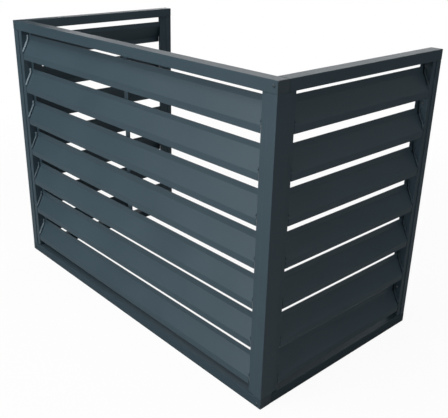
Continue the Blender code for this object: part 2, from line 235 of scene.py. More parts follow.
@dataclass
class Surface:
    """One or more closed shapes.

    Attributes:
        points: The points, shape (n, 3).
        faces: Numbers of each face's four points, shape (m, 4).
    """

    points: np.ndarray
    faces: np.ndarray

    def joined(self, other: "Surface") -> "Surface":
        """Both surfaces as one, side by side in the same mesh."""
        faces = np.concatenate([self.faces, other.faces + len(self.points)])
        return Surface(np.concatenate([self.points, other.points]), faces)

    def outward(self) -> "Surface":
        """The same closed surface with its faces turned to the outside.

        Returns:
            The surface, turned over if the sum of a . (b x c) over its triangles, six times the
            signed volume, is negative.
        """
        fans = np.concatenate([self.faces[:, [0, 1, 2]], self.faces[:, [0, 2, 3]]])
        a, b, c = (self.points[fans[:, n]] for n in range(3))
        inwards = (a * np.cross(b, c)).sum() < 0
        return Surface(self.points, self.faces[:, ::-1] if inwards else self.faces)


def sheet(
    path: np.ndarray, low: float, high: float, thickness: float, edge: float, steps: int = 2
) -> Surface:
    """Sheet metal: a path in depth and height, thickened and carried along the panel.

    A point is path(u) + mitre(u) * v, with v from -thickness / 2 to thickness / 2, and every edge
    is broken by a quarter circle of radius edge: edge * (1 - cos a) short of an end, the section
    is smaller by edge * (1 - sin a) all round.

    Args:
        path: Middle line of the sheet, as depth and height, shape (n, 2).
        low: Where the sheet starts along the panel.
        high: Where it ends.
        thickness: Thickness of the sheet.
        edge: Radius of the broken edges.
        steps: Number of straight pieces in a broken edge.

    Returns:
        The closed surface, as (along, depth, height) points.
    """
    turns = np.linspace(0, math.pi / 2, steps + 1)
    insets = edge * (1 - np.sin(turns))
    runs = edge * (1 - np.cos(turns))
    stations = np.concatenate([low + runs, high - runs[::-1]])
    ring_insets = np.concatenate([insets, insets[::-1]])[:, None]
    first, last = unit(path[1] - path[0]), unit(path[-1] - path[-2])
    start, end = slice(steps + 1), slice(-steps - 1, None)
    repeated = np.clip(np.arange(-steps, len(path) + steps), 0, len(path) - 1)
    middle, normals = path[repeated], path_normals(path)[repeated]
    across, pull = np.full(len(repeated), thickness / 2), np.zeros_like(middle)
    middle[start] += first * runs[:, None]
    middle[end] -= last * runs[::-1, None]
    across[start] -= insets
    across[end] -= insets[::-1]
    pull[start], pull[end] = first, -last
    width = np.maximum(across[None, :] - ring_insets, edge * LEAST_EDGE)[..., None]
    spine = middle[None] + pull[None] * ring_insets[..., None]
    one_side = spine + normals[None] * width
    other_side = spine - normals[None] * width
    loops = np.concatenate([one_side, other_side[:, ::-1]], axis=1)
    rings, size = loops.shape[:2]
    along = np.broadcast_to(stations[:, None, None], (rings, size, 1))
    points = np.concatenate([along, loops], axis=2).reshape(-1, 3)
    sides = grid_faces(rings, size, False, True)
    step = np.arange(size // 2 - 1)
    cap = np.stack([step, step + 1, size - 2 - step, size - 1 - step], axis=1)
    last_cap = cap[:, ::-1] + (rings - 1) * size
    return Surface(points, np.concatenate([sides[:, ::-1], cap, last_cap]))


def tube(
    outline: np.ndarray, low: float, high: float, wall: float, radius: float, steps: int = 6
) -> Surface:
    """Tube with a wall, open at both ends: its outer and inner outlines carried along it.

    The surface closes on itself like a ring: out along the outer outline, over the end's edge,
    and back along the inner one.

    Args:
        outline: Corners of the outer outline, anticlockwise, shape (n, 2).
        low: Where the tube starts.
        high: Where it ends.
        wall: Thickness of the wall.
        radius: Outer radius of the corners.
        steps: Number of straight pieces in a corner.

    Returns:
        The closed surface, as (along, first, second) points.
    """
    break_at = wall * TUBE_BREAK
    outer = rounded_outline(outline, radius, steps)
    trimmed = rounded_outline(inset_corners(outline, break_at), radius - break_at, steps)
    inner = rounded_outline(inset_corners(outline, wall), wall * TUBE_INNER_BEND, steps)
    loops = [inner, trimmed, outer, outer, trimmed, inner]
    places = [low, low, low + break_at, high - break_at, high, high]
    rows = [np.insert(loop, 0, place, axis=1) for loop, place in zip(loops, places)]
    points = np.concatenate(rows)
    return Surface(points, grid_faces(len(rows), len(outer), True, True))


@dataclass(frozen=True)
class Standpoint:
    """Where a panel stands in the row frame, and how its own axes are turned.

    A panel's own first axis runs along it to the right as seen from outside, its second inwards
    from its outer face, and its third up.

    Attributes:
        side: Which panel it is.
        origin: Where its own axes start.
        along: Direction of the first one.
    """

    side: Side
    origin: Pair
    along: Pair

    @property
    def axes(self) -> np.ndarray:
        """The first and the second axis, as the rows of a (2, 2) array."""
        x, y = self.along
        return np.array([(x, y), (-y, x)])

    def placed(self, surface: Surface) -> Surface:
        """The surface in the row frame: origin + first axis * x + second axis * y, and z as it is.

        Args:
            surface: The surface on the panel's own axes.

        Returns:
            The same surface on the row frame's.
        """
        flat = self.origin + surface.points[:, :2] @ self.axes
        return Surface(np.column_stack([flat, surface.points[:, 2]]), surface.faces)

    def span(self, node: str) -> np.ndarray:
        """A CAD node's box on the panel's own axes.

        Args:
            node: The node's name.

        Returns:
            Its lowest and its highest corner, shape (2, 3).
        """
        corners = np.array([list(corner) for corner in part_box(node)])
        flat = (corners[:, :2] - self.origin) @ self.axes.T
        return np.sort(np.column_stack([flat, corners[:, 2]]), axis=0)


def standpoints() -> dict[Side, Standpoint]:
    """The three panels' places, read from the CAD's own box.

    Returns:
        Each panel's place.
    """
    half_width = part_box("front_top_rail_cap_right")[1].x
    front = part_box("front_top_rail")[0].y
    return {
        Side.FRONT: Standpoint(Side.FRONT, (0.0, front), (1.0, 0.0)),
        Side.RIGHT: Standpoint(Side.RIGHT, (half_width, 0.0), (0.0, 1.0)),
        Side.LEFT: Standpoint(Side.LEFT, (-half_width, 0.0), (0.0, -1.0)),
    }


def wire(node: Node, inputs: dict[int | str, Value]) -> Node:
    """Gives a node its inputs: links the sockets to them and sets the plain values.

    Args:
        node: The node.
        inputs: What goes into each of its inputs, by number or name.

    Returns:
        The same node.
    """
    for place, value in inputs.items():
        if isinstance(value, Socket):
            node.id_data.links.new(value, node.inputs[place])
        else:
            node.inputs[place].default_value = value
    return node


@dataclass(frozen=True)
class Shading:
    """A material's nodes while its finish is laid on.

    Attributes:
        tree: The material's nodes.
        place: Its texture coordinates.
        shader: Its Principled BSDF.
    """

    tree: Tree
    place: Node
    shader: Node

    def noise(self, scale: float, detail: float) -> Socket:
        """A noise texture on Object coordinates.

        Args:
            scale: How fine the noise is.
            detail: How many finer layers it has.

        Returns:
            The noise's value.
        """
        inputs = {"Vector": self.place.outputs["Object"], "Scale": scale, "Detail": detail}
        return wire(self.tree.nodes.new("ShaderNodeTexNoise"), inputs).outputs["Fac"]

    def spread(self, value: Socket, low: float, high: float) -> Socket:
        """A noise's value stretched from low to high over the middle of its range.

        Args:
            value: The noise's value.
            low: What the low end of the range becomes.
            high: What its high end becomes.

        Returns:
            The stretched value.
        """
        ends = {"From Min": NOISE_LOW, "From Max": NOISE_HIGH, "To Min": low, "To Max": high}
        spread = self.tree.nodes.new("ShaderNodeMapRange")
        return wire(spread, {"Value": value, **ends}).outputs["Result"]

    def tint(self, colour: Colour | Socket, share: Socket) -> None:
        """Makes the base colour colour * share.

        Args:
            colour: A plain colour or one from the nodes.
            share: What it is multiplied by.
        """
        tint = self.tree.nodes.new("ShaderNodeVectorMath")
        tint.operation = "SCALE"
        wire(self.shader, {"Base Color": wire(tint, {0: colour, "Scale": share}).outputs[0]})


@dataclass(frozen=True)
class Finish:
    """A material that is built once and shared by every piece that wears it.

    Attributes:
        name: Name of the material.
        colour: Its main colour.
    """

    name: str
    colour: Colour

    def material(self) -> bpy.types.Material:
        """Builds the finish, or gives the one that is already built.

        Returns:
            The material.
        """
        made = bpy.data.materials.get(self.name)
        if made is None:
            made = bpy.data.materials.new(self.name)
            made.use_nodes = True
            nodes = made.node_tree.nodes
            place = nodes.new("ShaderNodeTexCoord")
            self.dress(Shading(made.node_tree, place, nodes["Principled BSDF"]))
        return made

    def dress(self, on: Shading) -> None:
        """Links the finish's own nodes to the shader."""
        raise NotImplementedError


@dataclass(frozen=True)
class PowderCoat(Finish):
    """Satin powder coat: a mid-grey blue with a fine grain, an orange-peel skin and faint dust.

    Attributes:
        roughness: Roughness of the coat at its smoothest.
        rougher: How much rougher it gets.
        grain: How far the fine grain lightens and darkens the colour, as a share.
        cloud: The same for the wide, slow drift of the colour over a panel.
        peel: Height of the orange-peel skin.
        gloss: Level of the gloss, 0.5 for a clean coat and less where painted shade dims it.
        peel_strength: How much of that skin the bumps show.
        ior: Index of refraction of the coat.
        noises: How fine the grain, the cloud and the peel are, each with its finer layers.
    """

    roughness: float = 0.40
    rougher: float = 0.08
    grain: float = 0.10
    cloud: float = 0.05
    peel: float = 0.00004
    gloss: float = 0.5
    peel_strength: float = 0.6
    ior: float = 1.5
    noises: tuple[Pair, ...] = ((900.0, 2.0), (6.0, 3.0), (420.0, 1.0))

    def dress(self, on: Shading) -> None:
        """Colour * grain * cloud, roughness that follows the cloud, and a skin of bumps.

        Args:
            on: The material's nodes.
        """
        grain, cloud, peel = (on.noise(*noise) for noise in self.noises)
        shares = {
            0: on.spread(grain, 1 - self.grain, 1 + self.grain),
            1: on.spread(cloud, 1 - self.cloud, 1 + self.cloud),
        }
        both = on.tree.nodes.new("ShaderNodeMath")
        both.operation = "MULTIPLY"
        on.tint(self.colour, wire(both, shares).outputs[0])
        skin = {"Strength": self.peel_strength, "Distance": self.peel, "Height": peel}
        coat = {
            "Roughness": on.spread(cloud, self.roughness, self.roughness + self.rougher),
            "IOR": self.ior,
            "Specular IOR Level": self.gloss,
            "Normal": wire(on.tree.nodes.new("ShaderNodeBump"), skin).outputs["Normal"],
        }
        wire(on.shader, coat)


@dataclass(frozen=True)
class Plating(Finish):
    """Zinc plating on a screw: dull grey metal with uneven gloss.

    Attributes:
        roughness: Roughness of the metal.
        dull: Share of the colour that its dullest spots keep.
        spots: How fine the spots are, with their finer layers.
    """

    roughness: float = 0.34
    dull: float = 0.75
    spots: Pair = (1400.0, 2.0)

    def dress(self, on: Shading) -> None:
        """Metal whose colour runs from dull to full with a fine noise.

        Args:
            on: The material's nodes.
        """
        ramp = wire(on.tree.nodes.new("ShaderNodeValToRGB"), {"Fac": on.noise(*self.spots)})
        dullest, fullest = ramp.color_ramp.elements
        dullest.position, fullest.position = NOISE_LOW, NOISE_HIGH
        dullest.color = (*(self.dull * part for part in self.colour), 1)
        fullest.color = (*self.colour, 1)
        metal = {"Metallic": 1.0, "Roughness": self.roughness}
        wire(on.shader, {"Base Color": ramp.outputs["Color"], **metal})


@dataclass(frozen=True)
class HighlitEdge(Finish):
    """Painted highlight on a rim's edge: lighter where light catches it, plain where shade falls.

    Attributes:
        highlight_colour: Colour of the painted highlight at its brightest.
        heights: Heights at which the wear is given.
        glint: Share of the painted highlight at those heights, from 0 for plain coat to 1 for full.
        roughness: Roughness of the edge.
        shares: How dark and how light the patches get.
        patches: How fine the patches are, with their finer layers.
    """

    highlight_colour: Colour
    heights: tuple[float, ...]
    glint: tuple[float, ...]
    roughness: float = 0.45
    shares: Pair = (0.8, 1.1)
    patches: Pair = (260.0, 2.0)

    def dress(self, on: Shading) -> None:
        """Colour from coat to painted highlight by the share at each height, times a noise.

        Args:
            on: The material's nodes.
        """
        nodes, top = on.tree.nodes, self.heights[-1]
        split = wire(nodes.new("ShaderNodeSeparateXYZ"), {0: on.place.outputs["Object"]})
        height = {"From Max": top, "Value": split.outputs["Z"]}
        share = wire(nodes.new("ShaderNodeMapRange"), height)
        ramp = wire(nodes.new("ShaderNodeValToRGB"), {"Fac": share.outputs["Result"]})
        stops = ramp.color_ramp.elements
        while len(stops) < len(self.heights):
            stops.new(0.5)  # Halfway between its two ends, until it is put at its own height.
        # Each height's share of the painted highlight.
        for stop, height, glint in zip(stops, self.heights, self.glint):
            stop.position = height / top
            mixed = [low + (high - low) * glint for low, high in zip(self.colour, self.highlight_colour)]
            stop.color = (*mixed, 1)
        patches = on.spread(on.noise(*self.patches), *self.shares)
        on.tint(ramp.outputs["Color"], patches)
        wire(on.shader, {"Roughness": self.roughness})


FRAME_COAT = PowderCoat("frame_powder_coat", COAT)
SLAT_COAT = PowderCoat("slat_powder_coat", (0.042, 0.073, 0.094))
# Painted shade on the bottom rails: darker and less glossy, for the shade of the lowest slat above
# them.
SHADED_BOTTOM_COAT = PowderCoat("bottom_rail_painted_shade_coat", (0.038, 0.062, 0.078), roughness=0.60, gloss=0.2)
HOLDER_COAT = PowderCoat("holder_powder_coat", COAT)
CAP_COAT = PowderCoat("cap_moulding", (0.042, 0.066, 0.080), roughness=0.5, peel=0.00002)
SCREW_COAT = PowderCoat("screw_powder_coat", (0.040, 0.062, 0.075), roughness=0.34)
SCREW_PLATING = Plating("screw_plating", (0.30, 0.32, 0.33))
# Painted highlight on the rims: brighter at some heights, where light catches them, and plain where
# the slats above shade them.
HIGHLIT_RIM = HighlitEdge(
    "painted_highlight_rim",
    COAT,
    highlight_colour=(0.22, 0.29, 0.33),
    heights=(0.030, 0.085, 0.140, 0.240, 0.330, 0.410, 0.480, 0.560, 0.7135),
    glint=(0.15, 0.45, 0.10, 0.12, 0.00, 0.30, 0.55, 0.90, 1.00),
)


def linked(name: str, data: bpy.types.ID) -> bpy.types.Object:
    """A new object in the scene.

    Args:
        name: Its name.
        data: The mesh, lamp or camera that it holds.

    Returns:
        The object.
    """
    made = bpy.data.objects.new(name, data)
    bpy.context.scene.collection.objects.link(made)
    return made


def add_piece(name: str, surface: Surface, finish: Finish, slot: str, *replaced: str) -> None:
    """Makes a finished piece that rides on the screen.

    Args:
        name: Name of the piece.
        surface: Its shape in the row frame.
        finish: Its finish.
        slot: The record's material slot; not used.
        replaced: CAD nodes that it stands for.
    """
    surface = surface.outward()
    mesh = bpy.data.meshes.new(name)
    mesh.from_pydata(surface.points.tolist(), [], surface.faces.tolist())
    mesh.polygons.foreach_set("use_smooth", np.ones(len(mesh.polygons), bool))
    mesh.set_sharp_from_angle(angle=math.radians(CREASE))
    mesh.materials.append(finish.material())
    mesh.validate()
    made = linked(name, mesh)
    shading = made.modifiers.new("Face weighted normals", "WEIGHTED_NORMAL")
    shading.keep_sharp = True
    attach(made, BODY)
    if replaced:
        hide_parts(*replaced)
    LOG.info("%s: %d faces", name, len(surface.faces))


@dataclass
class SlatBank:
    """The seven slats of a panel, folded to a Z, with a tab on each end.

    Attributes:
        stand: The panel's place.
        sheet_thickness: Thickness of the sheet.
        front_lip: Height of the lip at the front.
        rear_lip: Height of the lip at the rear.
        bend: Radius of the bends.
        bend_steps: Straight pieces in a bend.
        edge: Radius of the broken edges.
        tab_length: Length of a tab along the slope.
        tab_from_bend: How far below the upper bend it starts.
        tab_reach: How far it stands out of the sheet's end.
        tab_lap: How far it runs into the sheet.
        play: How much shorter the sheet is at each end.
        lip_rises: How much taller each slat's rear lip is.
    """

    stand: Standpoint
    sheet_thickness: float = 0.0015
    front_lip: float = 0.0151
    rear_lip: float = 0.0132
    bend: float = 0.0025
    bend_steps: int = 8
    edge: float = 0.0003
    tab_length: float = 0.027
    tab_from_bend: float = 0.003
    tab_reach: float = 0.0036
    tab_lap: float = 0.0006
    play: Pair = (0.0, 0.0)
    lip_rises: tuple[float, ...] = (0.0,) * SLAT_COUNT

    def build(self) -> None:
        """Builds and dresses every slat."""
        side = self.stand.side.value
        for number, rise in enumerate(self.lip_rises, start=1):
            node = f"{side}_slat_{number}"
            span = self.stand.span(node)
            shape = functools.reduce(Surface.joined, self._tabs(span), self._body(span, rise))
            add_piece(f"slat_{side}_{number}", self.stand.placed(shape), SLAT_COAT, "slat", node)

    def corners(self, span: np.ndarray) -> np.ndarray:
        """Middle line: up the front lip, back along the slope and up the rear lip.

        Args:
            span: A slat's box on the panel's axes.

        Returns:
            The line's four corners, as depth and height.
        """
        (_, front, foot), (_, back, top) = span
        front, back = front + self.sheet_thickness / 2, back - self.sheet_thickness / 2
        lower, upper = foot + self.front_lip, top - self.rear_lip
        return np.array([(front, foot), (front, lower), (back, upper), (back, top)])

    def _body(self, span: np.ndarray, rise: float) -> Surface:
        """The folded sheet between its two ends, without the tabs.

        Args:
            span: The slat's box on the panel's axes.
            rise: How much taller its rear lip is.

        Returns:
            The sheet.
        """
        corners = self.corners(span)
        corners[-1, 1] += rise
        path = bent_path(corners, self.bend, self.bend_steps)
        return sheet(path, *self._ends(span), self.sheet_thickness, self.edge)

    def _ends(self, span: np.ndarray) -> Pair:
        """Where the folded sheet starts and ends, short of the tabs' own ends."""
        low, high = span[:, 0]
        return low + self.tab_reach + self.play[0], high - self.tab_reach - self.play[1]

    def _tabs(self, span: np.ndarray) -> list[Surface]:
        """A tab on each end, straight on from the slope's upper stretch.

        Args:
            span: The slat's box on the panel's axes.

        Returns:
            The two tabs.
        """
        corners = self.corners(span)
        slope = unit(corners[2] - corners[1])
        top = corners[2] - slope * self.tab_from_bend
        path = straight(top - slope * self.tab_length, top)
        thin = self.sheet_thickness - self.edge * LEAST_EDGE
        start, end = self._ends(span)
        places = ((span[0, 0], start + self.tab_lap), (end - self.tab_lap, span[1, 0]))
        return [sheet(path, *place, thin, self.edge) for place in places]


@dataclass
class RailPair:
    """The top and the bottom rail of a panel, in rectangular tube.

    Attributes:
        stand: The panel's place.
        wall: Thickness of the tube's wall.
        corner_radius: Outer radius of its corners.
    """

    stand: Standpoint
    wall: float = 0.0012
    corner_radius: float = 0.0008

    def build(self) -> None:
        """Builds and dresses both rails."""
        side = self.stand.side.value
        for level in Level:
            node = f"{side}_{level.value}_rail"
            low, high = self.stand.span(node)
            outline = rectangle(low[1:], high[1:])
            body = tube(outline, low[0], high[0], self.wall, self.corner_radius)
            # The bottom rails take the coat with painted shade.
            finish = FRAME_COAT if level is Level.TOP else SHADED_BOTTOM_COAT
            name = f"rail_{side}_{level.value}"
            add_piece(name, self.stand.placed(body), finish, "frame", node)


def turned_upright(surface: Surface) -> Surface:
    """A shape carried along the first axis, turned so that it is carried along the third."""
    return Surface(surface.points[:, [1, 2, 0]], surface.faces)


@dataclass
class Posts:
    """The stepped tubes at the front corners and the plain ones at the rear ends.

    Attributes:
        thickness: Thickness of the panels that a corner post joins.
        face: Width of its face at the front.
        wall: Thickness of the tubes' walls.
        corner_radius: Outer radius of their corners.
    """

    thickness: float = 0.0305
    face: float = 0.023
    wall: float = 0.0012
    corner_radius: float = 0.0008

    def build(self) -> None:
        """Builds and dresses the four posts."""
        for side, sign in (("left", -1.0), ("right", 1.0)):
            corner, rear = f"front_{side}_corner_post", f"{side}_rear_post"
            self._add(f"post_corner_{side}", corner, self._stepped(corner, sign))
            self._add(f"post_rear_{side}", rear, rectangle(*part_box(rear)))

    def _stepped(self, node: str, sign: float) -> np.ndarray:
        """The outline of a post with a step, from its outer front corner.

        Args:
            node: The post's node.
            sign: -1 for the left and 1 for the right.

        Returns:
            Its corners, anticlockwise.
        """
        low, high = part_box(node)
        outer = high.x if sign > 0 else low.x
        inwards = np.array([0, self.face, self.face, self.thickness, self.thickness, 0])
        backwards = np.array([0, 0, self.thickness, self.thickness, high.y - low.y, high.y - low.y])
        outline = np.stack([outer - sign * inwards, low.y + backwards], axis=1)
        return outline[::-1] if sign > 0 else outline

    def _add(self, name: str, node: str, outline: np.ndarray) -> None:
        """Adds a post whose outline is carried up over a node's height.

        Args:
            name: Name of the piece.
            node: The node.
            outline: Corners of the post's outline, anticlockwise.
        """
        low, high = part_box(node)
        shape = turned_upright(tube(outline, low.z, high.z, self.wall, self.corner_radius))
        add_piece(name, shape, FRAME_COAT, "frame", node)


@dataclass(frozen=True)
class RoundHead:
    """A domed screw head with a cross recess.

    Attributes:
        radius: Radius of the head.
        height: Height of the dome.
        recess: Depth of the cross.
        arm: Width of its arms.
        slant: Share of an arm's width over which each of its sides slopes.
        reach: Share of the radius that the arms reach.
        fade: Share of the radius over which they run out.
        cells: Number of grid cells across.
    """

    radius: float
    height: float
    recess: float
    arm: float
    slant: float = 0.25
    reach: float = 0.6
    fade: float = 0.15
    cells: int = 28

    def surface(self) -> Surface:
        """The head upright on the origin, as a dome over a disc with a flat base.

        A square grid is drawn to the disc: (u, v) goes to u * sqrt(1 - v^2 / 2) and
        v * sqrt(1 - u^2 / 2), times the radius. The dome is height * sqrt(1 - r^2 / radius^2)
        high, less the recess where either arm of the cross runs.

        Returns:
            The closed surface.
        """
        side = np.linspace(-1, 1, self.cells + 1)
        u, v = np.meshgrid(side, side)
        x = self.radius * u * np.sqrt(1 - v**2 / 2)
        y = self.radius * v * np.sqrt(1 - u**2 / 2)
        share = np.clip(1 - (x**2 + y**2) / self.radius**2, 0, 1)
        within = self.arm / 2 - np.minimum(abs(x), abs(y))
        left = self.reach * self.radius - np.maximum(abs(x), abs(y))
        in_arm = np.clip(within / (self.arm * self.slant), 0, 1)
        in_reach = np.clip(left / (self.fade * self.radius), 0, 1)
        z = self.height * np.sqrt(share) - self.recess * in_arm * in_reach
        top = np.stack([x, y, z], axis=-1).reshape(-1, 3)
        upper = grid_faces(self.cells + 1, self.cells + 1, False, False)
        rim = (np.maximum(abs(u), abs(v)) == 1).reshape(-1)
        number = np.arange(len(top)) + np.where(rim, 0, len(top))
        faces = np.concatenate([upper, number[upper][:, ::-1]])
        return Surface(np.concatenate([top, top * np.array([1, 1, 0])]), faces)


@dataclass
class SlatHolders:
    """The holders at both ends of a panel's slats: tube, lip, rims and fixing screws.

    Attributes:
        stand: The panel's place.
        ends: Names of the panel's two ends.
        highlit: Names of the holders whose rims carry a painted highlight.
        wall: Thickness of the sheet.
        corner_radius: Outer radius of the tube's corners.
        setback: How much less deep the tube is than the CAD's, at each face.
        lip_length: Reach of the lip behind the slats.
        lip_setback: Its distance from the tube's rear.
        lap: How far the lip and the rims run into the tube.
        edge: Radius of the lip's broken edges.
        rim_from_slat: Distance of a rim's middle line from the slat's.
        rim_start: Where it starts, up the slope.
        rim_below_top: Where it ends, below the slat's top.
        rim_width: Its width.
        rim_height: How far it stands out.
        highlit_rim_height: The same for a rim with the painted highlight.
        rim_bend: Radius of its bends.
        rim_bend_steps: Straight pieces in a bend.
        rim_edge: Radius of its edges.
        rim_edge_steps: Straight pieces in an edge.
        screw: Head of its screws.
        screw_drops: Places of the screws, below the holder's top.
        screw_depth: Their distance behind the panel's face.
    """

    stand: Standpoint
    ends: tuple[str, str]
    highlit: tuple[str, ...] = ()
    wall: float = 0.0015
    corner_radius: float = 0.0006
    setback: float = 0.0015
    lip_length: float = 0.0125
    lip_setback: float = 0.003
    lap: float = 0.0005
    edge: float = 0.0003
    rim_from_slat: float = 0.0037
    rim_start: float = 0.0050
    rim_below_top: float = 0.0005
    rim_width: float = 0.0044
    rim_height: float = 0.0028
    highlit_rim_height: float = 0.0062
    rim_bend: float = 0.0025
    rim_bend_steps: int = 6
    rim_edge: float = 0.0021
    rim_edge_steps: int = 4
    screw: RoundHead = RoundHead(radius=0.0028, height=0.0013, recess=0.0008, arm=0.0011)
    screw_drops: tuple[float, ...] = (0.0979, 0.5812)
    screw_depth: float = 0.0133

    def build(self) -> None:
        """Builds and dresses both holders."""
        side = self.stand.side.value
        for end, inwards in zip(self.ends, (1, -1)):
            name, node = f"{side}_{end}", f"{side}_{end}_slat_holder"
            span = self.stand.span(node)
            _, tip = span[::inwards, 0]
            web = tip - inwards * self.lip_length
            body = self._body(web, inwards, span)
            add_piece(f"holder_{name}", self.stand.placed(body), HOLDER_COAT, "holder", node)
            # Only these rims carry the painted highlight; the others keep the plain coat.
            highlit = name in self.highlit
            rims = self._rims(web, inwards, self.highlit_rim_height if highlit else self.rim_height)
            finish = HIGHLIT_RIM if highlit else HOLDER_COAT
            add_piece(f"rims_{name}", self.stand.placed(rims), finish, "holder")
            screws = self.stand.placed(self._screws(web, inwards, span[1, 2]))
            finish = SCREW_PLATING if self.stand.side is Side.RIGHT else SCREW_COAT
            add_piece(f"holder_screws_{name}", screws, finish, "screw")

    def _body(self, web: float, inwards: int, span: np.ndarray) -> Surface:
        """The closed tube beside the post, and the lip that reaches from it behind the slats.

        Args:
            web: Where the tube's face towards the slats lies.
            inwards: 1 where the slats lie further along the panel and -1 where they lie before.
            span: The holder's box on the panel's axes.

        Returns:
            The tube and the lip.
        """
        (_, front, foot), (_, rear, top) = span
        outer, tip = span[::inwards, 0]
        left, right = sorted((outer, web))
        outline = rectangle((left, front + self.setback), (right, rear - self.setback))
        upright = turned_upright(tube(outline, foot, top, self.wall, self.corner_radius))
        depth = rear - self.lip_setback - self.wall / 2
        path = straight((depth, foot), (depth, top))
        ends = sorted((web - inwards * self.lap, tip))
        return upright.joined(sheet(path, *ends, self.wall, self.edge))

    def _rims(self, web: float, inwards: int, height: float) -> Surface:
        """A rounded rim in front of the slope and the rear lip of each slat.

        Args:
            web: Where the tube's face towards the slats lies.
            inwards: 1 where the slats lie further along the panel and -1 where they lie before.
            height: How far the rims stand out of that face.

        Returns:
            The seven rims.
        """
        side = self.stand.side.value
        slats = SlatBank(self.stand)
        ends = sorted((web - inwards * self.lap, web + inwards * height))
        rims = []
        for number in range(1, SLAT_COUNT + 1):
            line = slats.corners(self.stand.span(f"{side}_slat_{number}"))[1:]
            points = line + path_normals(line) * self.rim_from_slat
            points[0] += unit(line[1] - line[0]) * self.rim_start
            points[2, 1] -= self.rim_below_top
            path = bent_path(points, self.rim_bend, self.rim_bend_steps)
            rims.append(sheet(path, *ends, self.rim_width, self.rim_edge, self.rim_edge_steps))
        return functools.reduce(Surface.joined, rims)

    def _screws(self, web: float, inwards: int, top: float) -> Surface:
        """The heads of the screws that fix the tube to the post behind it.

        Args:
            web: Where the tube's face towards the slats lies.
            inwards: 1 where the slats lie further along the panel and -1 where they lie before.
            top: Height of the holder's top.

        Returns:
            The heads.
        """
        head = self.screw.surface()
        heads = []
        for drop in self.screw_drops:
            turned = head.points[:, [2, 0, 1]] * np.array([inwards, 1, 1])
            place = np.array([web, self.screw_depth, top - drop])
            heads.append(Surface(turned + place, head.faces).outward())
        return functools.reduce(Surface.joined, heads)


@dataclass
class CornerScrews:
    """The screws through the front rails' ends: only their driven heads show.

    Attributes:
        height: Height of the heads.
        recess: Depth of their crosses.
        arm: Width of the crosses' arms.
    """

    height: float = 0.0019
    recess: float = 0.0010
    arm: float = 0.0013

    def build(self) -> None:
        """Builds and dresses the four heads."""
        for level in Level:
            for side in ("left", "right"):
                node = f"corner_screw_{level.value}_{side}"
                low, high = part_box(node)
                radius = (high.x - low.x) / 2
                head = RoundHead(radius, self.height, self.recess, self.arm).surface()
                middle = np.array([(low.x + high.x) / 2, low.y + self.height, (low.z + high.z) / 2])
                turned = head.points[:, [0, 2, 1]] * np.array([1, -1, 1])
                shape = Surface(turned + middle, head.faces)
                name = f"screw_head_{level.value}_{side}"
                add_piece(name, shape, SCREW_COAT, "screw", node)


@dataclass
class Stiffener:
    """The flat bar behind the middle of the front slats, which ends behind one of them.

    Attributes:
        last_slat: Number of the slat behind which it ends.
        foot_above_slat: How far above that slat's lower edge it ends.
        edge: Radius of its broken edges.
    """

    last_slat: int = 5
    foot_above_slat: float = 0.010
    edge: float = 0.0004

    def build(self) -> None:
        """Builds and dresses the bar."""
        node = "front_centre_stiffener"
        low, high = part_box(node)
        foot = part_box(f"front_slat_{self.last_slat}")[0].z + self.foot_above_slat
        depth = (low.y + high.y) / 2
        path = straight((depth, foot), (depth, high.z))
        shape = sheet(path, low.x, high.x, high.y - low.y, self.edge)
        add_piece("stiffener_front_centre", shape, FRAME_COAT, "frame", node)


@dataclass
class RailCaps:
    """The caps in the rails' ends, which show as the CAD made them.

    Attributes:
        word: What their names hold.
    """

    word: str = "rail_cap"

    def build(self) -> None:
        """Dresses every cap."""
        for name, node in sorted(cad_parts.items()):
            if self.word in name:
                node.data.materials.clear()
                node.data.materials.append(CAP_COAT.material())
                LOG.info("%s: dressed", name)


def facing(azimuth: float, elevation: float) -> tuple[np.ndarray, np.ndarray]:
    """The level right and the back of something that looks at the object from a direction.

    Args:
        azimuth: Its direction in degrees, from the front round to the right.
        elevation: Its height in degrees above level.

    Returns:
        Right, which is (cos a, sin a, 0), and back, which is (sin a cos e, -cos a cos e, sin e).
    """
    turn, rise = math.radians(azimuth), math.radians(elevation)
    level = math.cos(rise)
    back = np.array([math.sin(turn) * level, -math.cos(turn) * level, math.sin(rise)])
    return np.array([math.cos(turn), math.sin(turn), 0.0]), back


def pose_matrix(right: np.ndarray, back: np.ndarray, place: np.ndarray) -> Matrix:
    """The matrix of something that looks along -back, with back x right as its up.

    Args:
        right: Its right.
        back: Its back.
        place: Where it stands.

    Returns:
        The matrix.
    """
    made = np.eye(4)
    made[:3] = np.column_stack([right, np.cross(back, right), back, place])
    return Matrix(made.tolist())


@dataclass
class Lamp:
    """A soft box of plain white light, with its size in metres and its power in watts.

    It hangs at its distance from a target, in a direction of the kind that facing() takes.
    """

    name: str
    azimuth: float
    elevation: float
    distance: float
    width: float
    height: float
    power: float

    def build(self, target: np.ndarray) -> None:
        """Hangs the lamp so that it faces the target.

        Args:
            target: The point that it lights.
        """
        data = bpy.data.lights.new(self.name, "AREA")
        data.shape = "RECTANGLE"
        data.size = self.width
        data.size_y = self.height
        data.energy = self.power
        right, back = facing(self.azimuth, self.elevation)
        place = target + back * self.distance
        linked(self.name, data).matrix_world = pose_matrix(right, back, place)


